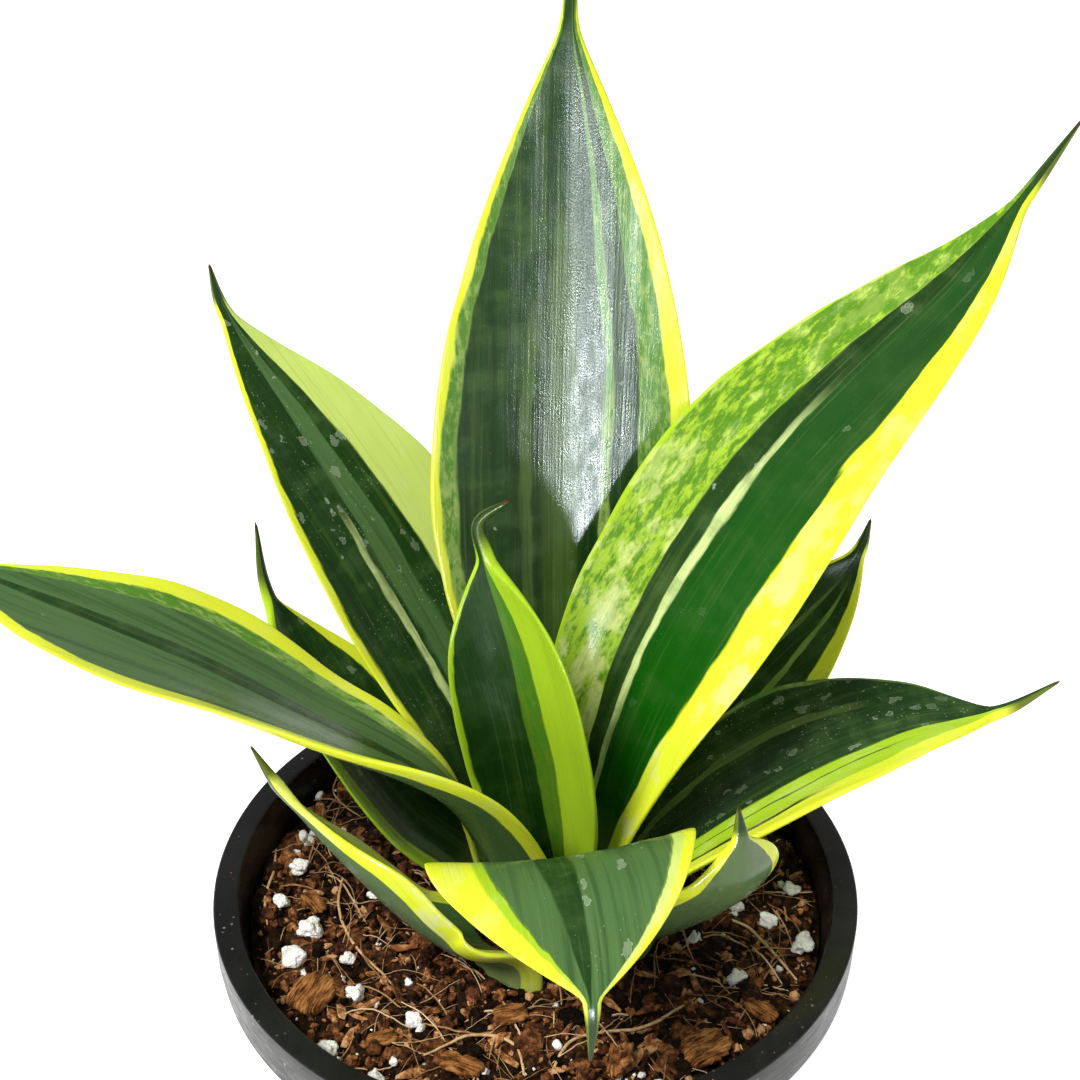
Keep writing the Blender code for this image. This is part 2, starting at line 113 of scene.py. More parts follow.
LEAVES = (
    Leaf("leaf_centre_back", 88, 10.4, 9.5, 22, 92,
         blade=((4, 17, 110), (3.5, 26, 150), (4, 31, 190), (4, 33, 225)),
         thorn=((4.5, 34, 236),), curl=(0.4, 0.3), swell=2.2,
         stripes=((0, "yellow"), (0.035, "pale"), (0.09, "dark"), (0.66, "pale"), (0.70, "dark"),
                  (0.80, "pale"), (0.92, "yellow")),
         lines=((0.49, 0.08, 0.1, 0.8, "olive"), (0.36, 0.03, 0.2, 0.7, "olive")), spots=(0.08, 0.45)),
    Leaf("leaf_upper_right", 52, 6.8, 6.5, 18, 62,
         blade=((16, 6, 121), (38, 16, 160), (66, 28, 187), (76, 35, 198)),
         thorn=((85, 41, 209),), curl=(0.5, 0.3), widest=0.48, swell=1.3,
         stripes=((0, "lime"), (0.02, "fresh"), (0.31, "dark"), (0.46, "vivid"), (0.80, "yellow")),
         lines=((0.44, 0.026, 0.0, 0.66, "cream"),), spots=(0.08, 0.6), cream=0.7),
    Leaf("leaf_upper_left", 132, 13.8, 9, 17.5, 128,
         blade=((-9, 18.5, 104), (-22, 29.5, 128), (-38, 38, 152), (-54, 45, 174)),
         thorn=((-56, 46, 182),), curl=(0.45, 0.3), widest=0.48,
         stripes=((0, "yellow"), (0.04, "dark"), (0.40, "grey"), (0.54, "dark"), (0.66, "soft")),
         lines=((0.35, 0.026, 0.02, 0.62, "cream"),), spots=(0.8, 0.82)),
    Leaf("leaf_long_left", 225, 9.6, 9.2, 20, 175,
         blade=((-12, -9, 110), (-38, -5, 125), (-66, -1, 138), (-93, 4, 147)),
         thorn=((-101, 4, 149),), curl=(0.45, 0.3), widest=0.62, swell=2.6, taper=1.7,
         roll=(0, -24, 0), roll_middle=0.3,
         stripes=((0, "yellow"), (0.10, "grey"), (0.50, "dark"), (0.60, "grey"), (0.82, "pale"),
                  (0.90, "yellow")),
         spots=(0.03, 0.9)),
    Leaf("leaf_low_left", 151, 17.5, 9, 14, 155,
         blade=((-22, 9, 95), (-35, 16, 111), (-46.5, 23, 130)),
         thorn=((-48, 25, 144),), curl=(0.8, 0.5),
         stripes=((0, "lime"), (0.14, "olive"), (0.3, "dark"), (0.88, "yellow"))),
    Leaf("leaf_front_left", 225, 18.4, 11, 11, 200,
         blade=((-17, -17, 91), (-29, -17, 105), (-40, -15, 120)),
         thorn=((-44, -13, 126),), curl=(0.9, 0.5), widest=0.4, roll=(0, -18, -15),
         stripes=((0, "yellow"), (0.15, "grey"), (0.86, "yellow")), spots=(0.6, 0.5), cream=0.9,
         back=((0.105, 0.165, 0.075), 0.85)),
    Leaf("leaf_front", 268, 13.6, 8.5, 20.5, 270,
         blade=((4, -19.5, 97), (4, -26.5, 115), (6, -37, 118), (8, -49, 110)),
         thorn=((8, -51, 100),), curl=(0.2, 0.3), widest=0.6, swell=1.6, roll=(0, -8, -5),
         stripes=((0, "yellow"), (0.05, "soft"), (0.10, "grey"), (0.48, "dark"), (0.60, "grey"),
                  (0.78, "lime"), (0.83, "yellow")),
         spots=(0.3, 0.7), cream=0.6),
    Leaf("leaf_front_right", 319, 16.6, 8, 11, 315,
         blade=((22, -17.5, 93), (28, -22, 102), (31, -25, 110), (30.5, -25, 119)),
         thorn=((30, -24, 124),), curl=(0.6, 0.5), widest=0.7, roll=(0, 22, 10),
         stripes=((0, "yellow"), (0.15, "grey"), (0.85, "yellow")), back=((0.105, 0.165, 0.06), 0.75)),
    Leaf("leaf_young", 100, 2.6, 3, 12.5, 75,
         blade=((3, -2.5, 98), (0.5, -2, 115), (-3.5, -1.5, 135), (-8, -1, 153)),
         thorn=((-9, -1, 159), (-4, -1, 163)), curl=(1.0, 0.8), widest=0.52, taper=2.9,
         stripes=((0, "lime"), (0.04, "deep"), (0.48, "moss"), (0.62, "lime")), spots=(0, 0.5),
         cream=0.0),
    Leaf("leaf_back_right", 64, 16.4, 8.5, 16, 75,
         blade=((22, 21, 97), (40, 30, 112), (54, 37, 124), (58.5, 39, 131)),
         thorn=((60, 40, 137),), curl=(0.6, 0.4), widest=0.45,
         stripes=((0, "yellow"), (0.05, "dark"), (0.86, "yellow")),
         lines=((0.5, 0.03, 0.1, 0.9, "mid"), (0.68, 0.03, 0.1, 0.9, "pale")), spots=(0.1, 0.5)),
    Leaf("leaf_right", 8, 13.4, 9.5, 17, 5,
         blade=((24, 1.5, 93), (45, 5, 108.5), (64, 8, 115.5), (78, 9, 117)),
         thorn=((88, 10, 123),), curl=(0.6, 0.3), swell=1.5,
         stripes=((0, "pale"), (0.025, "dark"), (0.63, "lime"), (0.84, "yellow")),
         lines=((0.24, 0.03, 0.1, 0.7, "mid"), (0.72, 0.008, 0.05, 0.75, "olive"),
                (0.86, 0.022, 0.15, 0.55, "dark")),
         spots=(1.0, 0.55)),
)

# The points each coir fibre lies through, as in the part.
COIR_FIBRES = (
    ((-47, 10), (-46.5, 4), (-47, -2), (-45.5, -9)),
    ((-34, 5), (-34, -4), (-31, -12), (-23, -22)),
    ((-17, -36), (-9, -32), (-3, -34), (-1, -43)),
    ((1, -46), (6, -33), (18, -30), (26, -24)),
    ((43, -20), (40, -14), (36, -8), (31, -5)),
    ((-28, 32), (-16, 42), (0, 44), (13, 41)),
)

# Each tint of the stripes, and its kind: a dark one carries paler bands, a flecked one green flecks.
DARK, PLAIN, CLEAN, FLECKED = 0.0, 0.25, 0.5, 1.0
TINTS = {
    "yellow": ((0.72, 0.80, 0.035), CLEAN),
    "lime": ((0.36, 0.56, 0.02), CLEAN),
    "soft": ((0.54, 0.68, 0.15), CLEAN),
    "pale": ((0.23, 0.36, 0.08), FLECKED),
    "fresh": ((0.33, 0.52, 0.035), FLECKED),
    "olive": ((0.055, 0.105, 0.020), DARK),
    "cream": ((0.58, 0.72, 0.28), CLEAN),
    "mid": ((0.13, 0.20, 0.05), CLEAN),
    "moss": ((0.10, 0.20, 0.012), FLECKED),
    "grey": ((0.070, 0.150, 0.046), DARK),
    "dark": ((0.013, 0.046, 0.008), DARK),
    "vivid": ((0.004, 0.085, 0.002), PLAIN),
    "deep": ((0.004, 0.030, 0.001), PLAIN),
}


# Other colours of the leaves.
DULL_GREEN = (0.016, 0.055, 0.012)
CREAM_CLOUD = (0.70, 0.76, 0.30)
FLECK_GREEN = (0.055, 0.19, 0.012)
BAND_GREEN = (0.075, 0.145, 0.042)
STREAK_DARK = (0.004, 0.018, 0.002)
STREAK_PALE = (0.10, 0.16, 0.03)
FIBRE_DARK = (0.02, 0.06, 0.005)
FIBRE_PALE = (0.55, 0.65, 0.30)
# The white of dried water, dust and painted glints.
DRIED_WATER_DUST_AND_GLINTS = (0.52, 0.62, 0.46)
FOOT_PALE = (0.46, 0.56, 0.16)
THORN_GREEN = (0.022, 0.045, 0.014)
THORN_BROWN = (0.07, 0.03, 0.012)

# Colours from the darkest to the palest.
EARTH = ((0.0, (0.006, 0.003, 0.002)), (0.35, (0.024, 0.011, 0.006)), (0.6, (0.11, 0.038, 0.015)),
         (0.85, (0.33, 0.13, 0.045)), (1.0, (0.60, 0.34, 0.16)))
HAIR = ((0.0, (0.22, 0.10, 0.04)), (0.5, (0.46, 0.27, 0.12)), (1.0, (0.72, 0.52, 0.30)))


# --- meshes ---


def ease(x):
    x = np.clip(x, 0, 1)
    return x * x * (3 - 2 * x)


def add_mesh(name, points, faces, material, sharp_angle=None):
    """An object from points in millimetres, shaded flat unless a sharp angle in degrees is given."""
    mesh = bpy.data.meshes.new(name)
    mesh.from_pydata(np.asarray(points) * MM, [], faces)
    mesh.materials.append(material)
    if sharp_angle is not None:
        mesh.shade_smooth()
        mesh.set_sharp_from_angle(angle=math.radians(sharp_angle))
    obj = bpy.data.objects.new(name, mesh)
    bpy.context.scene.collection.objects.link(obj)
    return obj


def add_number(mesh, name, values):
    """A number at each point of the mesh, which its material can read."""
    attribute = mesh.attributes.new(name, "FLOAT", "POINT")
    attribute.data.foreach_set("value", np.asarray(values, np.float32))


def add_map(mesh, name, places):
    """A UV map from a place at each point."""
    layer = mesh.uv_layers.new(name=name)
    corners = np.empty(len(mesh.loops), np.int32)
    mesh.loops.foreach_get("vertex_index", corners)
    layer.uv.foreach_set("vector", np.asarray(places, np.float32)[corners].ravel())


def ring_faces(rings, count, closed=True):
    """Quads between rows of `count` points each."""
    faces = []
    for row in range(rings - 1):
        for i in range(count if closed else count - 1):
            j = (i + 1) % count
            low, high = row * count, (row + 1) * count
            faces.append((low + i, low + j, high + j, high + i))
    return faces


def circle(count):
    """Cosine and sine of even turns all the way round."""
    return [(math.cos(math.tau * k / count), math.sin(math.tau * k / count)) for k in range(count)]


def unit_sphere(subdivisions):
    """Points and faces of a sphere of radius 1."""
    bm = bmesh.new()
    bmesh.ops.create_icosphere(bm, subdivisions=subdivisions, radius=1)
    points = np.array([vert.co for vert in bm.verts])
    faces = np.array([[vert.index for vert in face.verts] for face in bm.faces])
    bm.free()
    return points, faces


SPHERES = [None] + [unit_sphere(level) for level in (1, 2, 3, 4)]


def rough(points, seed, coarse, fine, scale=1.6):
    """The points of a unit shape pushed in and out by noise."""
    shift = Vector((seed, -seed, 2 * seed))
    pushed = []
    for point in points:
        place = Vector(point) * scale + shift
        push = 1 + coarse * noise.noise(place) + fine * noise.noise(place * 3.1)
        pushed.append(point * push)
    return np.array(pushed)


def turned(points, turn):
    return points @ np.array(turn.to_matrix()).T


class Heap:
    """Many small closed shapes gathered into one mesh, each with its own tint from 0 to 1."""

    def __init__(self):
        self.points, self.faces, self.tints = [], [], []
        self.count = 0

    def add(self, points, faces, tint):
        self.points.append(points)
        self.faces.extend((np.asarray(faces) + self.count).tolist())
        self.tints.append(np.full(len(points), tint))
        self.count += len(points)

    def build(self, name, material, slot, sharp_angle=None):
        obj = add_mesh(name, np.vstack(self.points), self.faces, material, sharp_angle)
        add_number(obj.data, "tint", np.concatenate(self.tints))
        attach(obj, "root")
        return obj


# --- materials ---


class Shader:
    """A material's node tree. Each call adds nodes and returns what they give."""

    def __init__(self, name, **constants):
        self.material = bpy.data.materials.new(name)
        self.material.use_nodes = True
        self.tree = self.material.node_tree
        self.bsdf = self.tree.nodes["Principled BSDF"]
        for key, value in constants.items():
            self.bsdf.inputs[key.replace("_", " ")].default_value = value

    def node(self, kind, inputs=(), **settings):
        node = self.tree.nodes.new("ShaderNode" + kind)
        for key, value in settings.items():
            setattr(node, key, value)
        for key, value in dict(inputs).items():
            self.feed(node.inputs[key], value)
        return node

    def feed(self, socket, value):
        if isinstance(value, bpy.types.NodeSocket):
            self.tree.links.new(value, socket)
        else:
            socket.default_value = value

    def set(self, key, value):
        self.feed(self.bsdf.inputs[key], value)

    def map(self, name):
        return self.node("UVMap", uv_map=name).outputs["UV"]

    def number(self, name):
        return self.node("Attribute", attribute_name=name).outputs["Fac"]

    def place(self):
        return self.node("TexCoord").outputs["Object"]

    def split(self, vector):
        return self.node("SeparateXYZ", {0: vector}).outputs

    def vector(self, operation, a, b=(0, 0, 0)):
        return self.node("VectorMath", {0: a, 1: b}, operation=operation).outputs

    def stretch(self, vector, scale, shift=(0, 0, 0)):
        return self.vector("ADD", self.vector("MULTIPLY", vector, scale)[0], shift)[0]

    def math(self, operation, a, b=0.0):
        return self.node("Math", {0: a, 1: b}, operation=operation).outputs[0]

    def times(self, value, *factors):
        for factor in factors:
            value = self.math("MULTIPLY", value, factor)
        return value

    def noise(self, vector, scale=1.0, detail=2.0, roughness=0.5):
        inputs = {"Vector": vector, "Scale": scale, "Detail": detail, "Roughness": roughness}
        return self.node("TexNoise", inputs).outputs[0]

    def cells(self, vector, scale=1.0):
        return self.node("TexVoronoi", {"Vector": vector, "Scale": scale}).outputs

    def step(self, value, start, end, low=0.0, high=1.0):
        """Eases from low to high as the value goes from start to end."""
        inputs = {"Value": value, "From Min": start, "From Max": end, "To Min": low, "To Max": high}
        return self.node("MapRange", inputs, interpolation_type="SMOOTHSTEP").outputs[0]

    def mix(self, share, low, high):
        node = self.node("Mix", data_type="RGBA")
        self.feed(node.inputs[0], share)
        for socket, value in ((node.inputs[6], low), (node.inputs[7], high)):
            self.feed(socket, (*value, 1) if isinstance(value, tuple) else value)
        return node.outputs[2]

    def ramp(self, value, stops):
        """A colour ramp from (position, colour of 3 or 4 numbers) pairs."""
        node = self.node("ValToRGB", {0: value})
        elements = node.color_ramp.elements
        while len(elements) < len(stops):
            elements.new(0.5)
        for element, (position, colour) in zip(elements, stops):
            element.position = position
            element.color = (*colour, 1)[:4]
        return node.outputs

    def bump(self, height, distance, strength=1.0, normal=None):
        node = self.node("Bump", {"Height": height, "Distance": distance, "Strength": strength})
        if normal is not None:
            self.feed(node.inputs["Normal"], normal)
        return node.outputs[0]


def stripe_stops(stripes, soft=0.007):
    """Colour stops with a short blend where one stripe meets the next."""
    stops = []
    for i, (start, tint) in enumerate(stripes):
        colour, kind = TINTS[tint]
        end = stripes[i + 1][0] if i + 1 < len(stripes) else 1.0
        stops.append((start + soft if i else 0.0, (*colour, kind)))
        stops.append((end - soft if end < 1 else 1.0, (*colour, kind)))
    return stops


def window(shader, value, start, end, soft):
    """1 between start and end, easing to 0 over `soft` on either side."""
    rise = shader.step(value, start - soft, start + soft)
    fall = shader.step(value, end - soft, end + soft, 1.0, 0.0)
    return shader.times(rise, fall)


def leaf_stripes(s, leaf, size, across, along):
    """The colour of the leaf's stripes and lines, and the kind of each stripe."""
    # The stripes waver a little as they run up the leaf.
    drift = s.times(s.noise(s.stretch(size, (0.05, 0.045, 1))), 0.06)
    waver = s.times(s.noise(s.stretch(size, (0.7, 0.09, 1)), detail=4), 0.05)
    place = s.math("ADD", across, s.math("SUBTRACT", s.math("ADD", drift, waver), 0.055))
    colour, kind = s.ramp(place, stripe_stops(leaf.stripes))
    for middle, half, start, end, tint in leaf.lines:
        off = s.math("ABSOLUTE", s.math("SUBTRACT", place, middle))
        inside = s.step(off, half * 0.6, half, 1.0, 0.0)
        colour = s.mix(s.times(inside, window(s, along, start, end, 0.06)), colour, TINTS[tint][0])
    # The plain greens dull towards the tip.
    dull = s.times(s.step(along, 0.25, 0.8, 0.0, 0.75), window(s, kind, PLAIN - 0.05, PLAIN + 0.05, 0.05))
    return s.mix(dull, colour, DULL_GREEN), kind


def water_marks_dust_and_glints(s, leaf, size, along):
    """Films and rings where water has dried, and specks of dust and painted glints: 0 where the leaf is
    clean.
    """
    amount, where = leaf.spots
    near = window(s, along, where - 0.3, where + 0.3, 0.15)
    bend = s.node("TexNoise", {"Vector": s.stretch(size, (1.1, 0.9, 1)), "Scale": 1.0, "Detail": 3.0})
    bend = s.vector("MULTIPLY", bend.outputs["Color"], (1.1, 1.1, 0))[0]
    patch = s.cells(s.vector("ADD", s.stretch(size, (0.62, 0.40, 1)), bend)[0])
    first, second, _ = s.split(patch["Color"])
    reach = s.times(s.math("POWER", first, 2.0), 0.5)
    off = s.math("SUBTRACT", patch["Distance"], reach)
    film = s.step(off, -0.12, 0.0, 1.0, 0.0)
    ring = s.step(s.math("ABSOLUTE", off), 0.02, 0.06, 1.0, 0.0)
    chosen = s.step(second, 1.0 - 0.4 * amount - 0.03, 1.0 - 0.4 * amount)
    mark = s.times(s.math("MAXIMUM", s.times(film, 0.22), s.times(ring, 0.4)), chosen, near)
    # Specks: dust, and on the most speckled leaves painted glints.
    dust = s.cells(s.stretch(size, (1.7, 1.3, 1), (5, 3, 0)))
    keep = s.step(s.split(dust["Color"])[0], 0.84 - 0.45 * amount, 0.88 - 0.45 * amount)
    speck = s.step(dust["Distance"], 0.03, 0.10 + 0.16 * amount, 1.0, 0.0)
    clump = s.step(s.noise(s.stretch(size, (0.16, 0.10, 1)), detail=3), 0.42, 0.60)
    return s.math("MAXIMUM", mark, s.times(speck, keep, clump, 0.65))


def leaf_material(leaf, number):
    """The striped skin of one leaf: margins, mottled bands, fine fibres, water marks and a dark thorn."""
    s = Shader(leaf.name + "_skin", Specular_IOR_Level=0.15)
    across, along, _ = s.split(s.map("leaf"))
    size = s.stretch(s.map("size"), (1, 1, 1), (0, 0, 7.3 * number))
    colour, kind = leaf_stripes(s, leaf, size, across, along)

    # Creamy clouds on the light stripes, green flecks on the flecked ones, cross bands on the dark ones.
    flecked = s.step(kind, 0.6, 0.95)
    dark = s.step(kind, 0.05, 0.4, 1.0, 0.0)
    cream = s.step(s.noise(s.stretch(size, (0.22, 0.13, 1)), detail=4, roughness=0.6), 0.48, 0.62)
    cream = s.times(cream, s.step(kind, 0.3, 0.5, 0.0, leaf.cream), s.step(along, 0.4, 0.65, 1.0, 0.4))
    colour = s.mix(cream, colour, CREAM_CLOUD)
    fleck = s.noise(s.stretch(size, (0.9, 0.32, 1)), detail=7, roughness=0.72)
    fleck = s.step(s.math("ADD", fleck, s.step(along, 0.2, 0.9, -0.03, 0.09)), 0.44, 0.60)
    fleck = s.times(fleck, s.step(cream, 0.0, 0.6, 1.0, 0.4), flecked, 0.85)
    colour = s.mix(fleck, colour, FLECK_GREEN)
    band = s.step(s.noise(s.stretch(size, (0.10, 0.16, 1)), detail=5, roughness=0.6), 0.45, 0.68)
    colour = s.mix(s.times(band, dark, 0.42), colour, BAND_GREEN)

    # Broad streaks and fine fibres along the leaf.
    fibre = s.noise(s.stretch(size, (2.4, 0.045, 1)), detail=3, roughness=0.6)
    broad = s.noise(s.stretch(size, (0.55, 0.02, 1)), detail=4, roughness=0.6)
    colour = s.mix(s.times(s.step(broad, 0.35, 0.52, 0.4, 0.0), dark), colour, STREAK_DARK)
    colour = s.mix(s.times(s.step(broad, 0.54, 0.70, 0.0, 0.28), dark), colour, STREAK_PALE)
    colour = s.mix(s.step(fibre, 0.3, 0.5, 0.13, 0.0), colour, FIBRE_DARK)
    colour = s.mix(s.step(fibre, 0.55, 0.75, 0.0, 0.06), colour, FIBRE_PALE)

    # Dried marks, dust and painted glints show less on the light stripes.
    marks_dust_and_glints = s.times(water_marks_dust_and_glints(s, leaf, size, along), s.step(dark, 0.0, 1.0, 0.35, 1.0))
    colour = s.mix(marks_dust_and_glints, colour, DRIED_WATER_DUST_AND_GLINTS)

    # The underside has its own green, on most leaves darkened as painted shade.
    # The foot is paler, and the thorn dark and brown at its point.
    back, share = leaf.back
    colour = s.mix(s.times(s.number("under"), dark, share), colour, back)
    colour = s.mix(s.step(along, 0.0, 0.16, 0.55, 0.0), colour, FOOT_PALE)
    colour = s.mix(s.times(s.step(along, 1.0, 1.35), 0.85), colour, THORN_GREEN)
    s.set("Base Color", s.mix(s.step(along, 1.75, 2.0), colour, THORN_BROWN))

    gloss = s.noise(s.stretch(size, (0.5, 0.2, 1)), detail=4)
    roughness = s.step(gloss, 0.3, 0.7, 0.17, 0.30)
    s.set("Roughness", s.math("ADD", roughness, s.times(marks_dust_and_glints, 0.35)))
    pores = s.noise(s.stretch(size, (5, 3, 1)), detail=2)
    ridges = s.bump(s.math("ADD", fibre, broad), 0.00006, 0.6)
    s.set("Normal", s.bump(s.math("ADD", pores, s.times(marks_dust_and_glints, 1.5)), 0.00004, 0.5, ridges))
    return s.material


def plastic_material():
    """Black moulded plastic with faint scuffs, dust, and a little dried mix inside the rim."""
    s = Shader("black_plastic", Specular_IOR_Level=0.3)
    place = s.place()
    height = s.split(place)[2]
    cloud = s.noise(place, 60, 5, 0.6)
    colour = s.mix(s.step(cloud, 0.35, 0.7), (0.004, 0.004, 0.0045), (0.012, 0.012, 0.012))

    # Dried mix.
    radius = s.vector("LENGTH", s.vector("MULTIPLY", place, (1, 1, 0))[0])["Value"]
    soiled = s.times(window(s, height, 0.082, 0.0885, 0.002), s.step(cloud, 0.4, 0.62))
    soiled = s.times(soiled, s.step(radius, 0.0512, 0.0517, 1.0, 0.0), 0.6)
    colour = s.mix(soiled, colour, (0.075, 0.045, 0.028))

    # Dust, which is thickest near the rim.
    dust = s.cells(place, 900)
    picked = s.step(s.split(dust["Color"])[0], 0.86, 0.9)
    speck = s.times(s.step(dust["Distance"], 0.1, 0.30, 1.0, 0.0), picked)
    speck = s.times(speck, s.step(s.noise(place, 35, 3), 0.42, 0.6))
    speck = s.times(speck, s.step(height, 0.06, 0.085, 0.25, 1.0), 0.75)
    s.set("Base Color", s.mix(speck, colour, (0.42, 0.40, 0.36)))

    scuff = s.noise(s.stretch(place, (250, 250, 1500)), 1, 4, 0.7)
    s.set("Roughness", s.step(scuff, 0.3, 0.7, 0.25, 0.45))
    grain = s.noise(place, 2200, 2)
    s.set("Normal", s.bump(s.math("ADD", grain, s.times(scuff, 0.5)), 0.00005, 0.35))
    return s.material


def mix_material(name, stops, bump=0.0004, scale=700):
    """Crumbly matter whose colour runs along the stops with its tint and with noise."""
    s = Shader(name, Specular_IOR_Level=0.25)
    place = s.place()
    cloud = s.noise(place, scale, 5, 0.7)
    share = s.math("ADD", s.number("tint"), s.step(cloud, 0.3, 0.7, -0.25, 0.25))
    s.set("Base Color", s.ramp(share, stops)[0])
    s.set("Roughness", s.step(cloud, 0.3, 0.7, 0.98, 0.75))
    s.set("Normal", s.bump(s.noise(place, scale * 3, 4, 0.7), bump, 0.6))
    return s.material


def bark_material():
    """Orange-brown bark with grain along its length and dark grooves."""
    s = Shader("bark_grain", Specular_IOR_Level=0.3)
    size = s.map("size")
    grain = s.noise(s.stretch(size, (0.35, 2.6, 1)), 1, 5, 0.65)
    patch = s.noise(s.stretch(size, (0.25, 0.4, 1)), 1, 4, 0.6)
    share = s.math("ADD", s.step(grain, 0.3, 0.7, 0.0, 0.75), s.step(patch, 0.3, 0.7, -0.2, 0.3))
    stops = ((0.0, (0.022, 0.009, 0.004)), (0.25, (0.13, 0.048, 0.014)), (0.6, (0.38, 0.155, 0.045)),
             (1.0, (0.55, 0.30, 0.12)))
    s.set("Base Color", s.ramp(share, stops)[0])
    s.set("Roughness", s.step(patch, 0.3, 0.7, 0.95, 0.7))
    s.set("Normal", s.bump(grain, 0.0005, 0.8))
    return s.material


def perlite_material():
    """Chalk-white foamed rock with grey pits and brown stains."""
    s = Shader("perlite_foam", Subsurface_Weight=0.12, Subsurface_Scale=0.001)
    place = s.place()
    pits = s.cells(place, 2200)
    stain = s.noise(place, 500, 5, 0.65)
    colour = s.mix(s.step(stain, 0.55, 0.75, 0.0, 0.6), (0.93, 0.925, 0.90), (0.42, 0.30, 0.19))
    colour = s.mix(s.step(pits["Distance"], 0.4, 0.75, 0.0, 0.3), colour, (0.50, 0.46, 0.40))
    s.set("Base Color", colour)
    s.set("Roughness", s.step(stain, 0.3, 0.7, 0.75, 0.95))
    s.set("Normal", s.bump(pits["Distance"], 0.0003, 0.7))
    return s.material


# --- leaves ---


def smooth_curve(points, steps=40):
    """A centripetal Catmull-Rom curve through the points, with `steps` points to a span."""
    points = np.array(points, float)
    points = np.vstack([2 * points[0] - points[1], points, 2 * points[-1] - points[-2]])
    spans = []
    for p0, p1, p2, p3 in zip(points, points[1:], points[2:], points[3:]):
        t1 = math.sqrt(np.linalg.norm(p1 - p0))
        t2 = t1 + math.sqrt(np.linalg.norm(p2 - p1))
        t3 = t2 + math.sqrt(np.linalg.norm(p3 - p2))
        t = np.linspace(t1, t2, steps, endpoint=False)[:, None]
        a1 = (t1 - t) / t1 * p0 + t / t1 * p1
        a2 = (t2 - t) / (t2 - t1) * p1 + (t - t1) / (t2 - t1) * p2
        a3 = (t3 - t) / (t3 - t2) * p2 + (t - t2) / (t3 - t2) * p3
        b1 = (t2 - t) / t2 * a1 + t / t2 * a2
        b2 = (t3 - t) / (t3 - t1) * a2 + (t - t1) / (t3 - t1) * a3
        spans.append((t2 - t) / (t2 - t1) * b1 + (t - t1) / (t2 - t1) * b2)
    return np.vstack([*spans, points[-2]])


def three_way(values, t, middle):
    """Eases from the first value to the second at `middle`, then to the third at 1."""
    first, second, third = values
    rise = first + (second - first) * ease(t / middle)
    return np.where(t < middle, rise, second + (third - second) * ease((t - middle) / (1 - middle)))


def middle_line(leaf):
    """Points, directions, place along the blade, place along the thorn and distance of every station."""
    azimuth = math.radians(leaf.foot_azimuth)
    foot = np.array((CROWN[0] + leaf.foot_radius * math.cos(azimuth),
                     CROWN[1] + leaf.foot_radius * math.sin(azimuth), FOOT_Z))
    steps = 40
    curve = smooth_curve([foot, foot + (0, 0, 5), *leaf.blade, *leaf.thorn], steps)
    run = np.concatenate([[0], np.cumsum(np.linalg.norm(np.diff(curve, axis=0), axis=1))])
    blade_length = run[steps * (len(leaf.blade) + 1)]
    thorn_length = run[-1] - blade_length
    along_thorn = np.linspace(0, 1, THORN_STATIONS + 1)[1:]
    stations = np.concatenate([
        np.linspace(0, 1, BLADE_STATIONS + 1) * blade_length,
        blade_length + along_thorn * thorn_length,
    ])

    def at(distance):
        return np.stack([np.interp(distance, run, curve[:, axis]) for axis in range(3)], axis=1)

    direction = at(stations + 0.8) - at(stations - 0.8)
    direction /= np.linalg.norm(direction, axis=1)[:, None]
    t = np.minimum(stations / blade_length, 1)
    q = np.clip((stations - blade_length) / thorn_length, 0, 1)
    return at(stations), direction, t, q, stations


def half_widths(leaf, t, thorn_radius):
    rise = np.sin(np.pi / 2 * np.clip(t / leaf.widest, 0, 1)) ** leaf.swell
    narrowing = np.clip((t - leaf.widest) / (1 - leaf.widest), 0, 1) ** leaf.taper
    lower = leaf.foot_half + (leaf.half - leaf.foot_half) * rise
    blade = np.where(t < leaf.widest, lower, leaf.half * (1 - narrowing))
    return np.sqrt(blade**2 + thorn_radius**2)


def wavy(values, seed, scale):
    """Smooth noise from -1 to 1 along the values."""
    return np.array([noise.noise((value * scale, seed, 0.5)) for value in values])


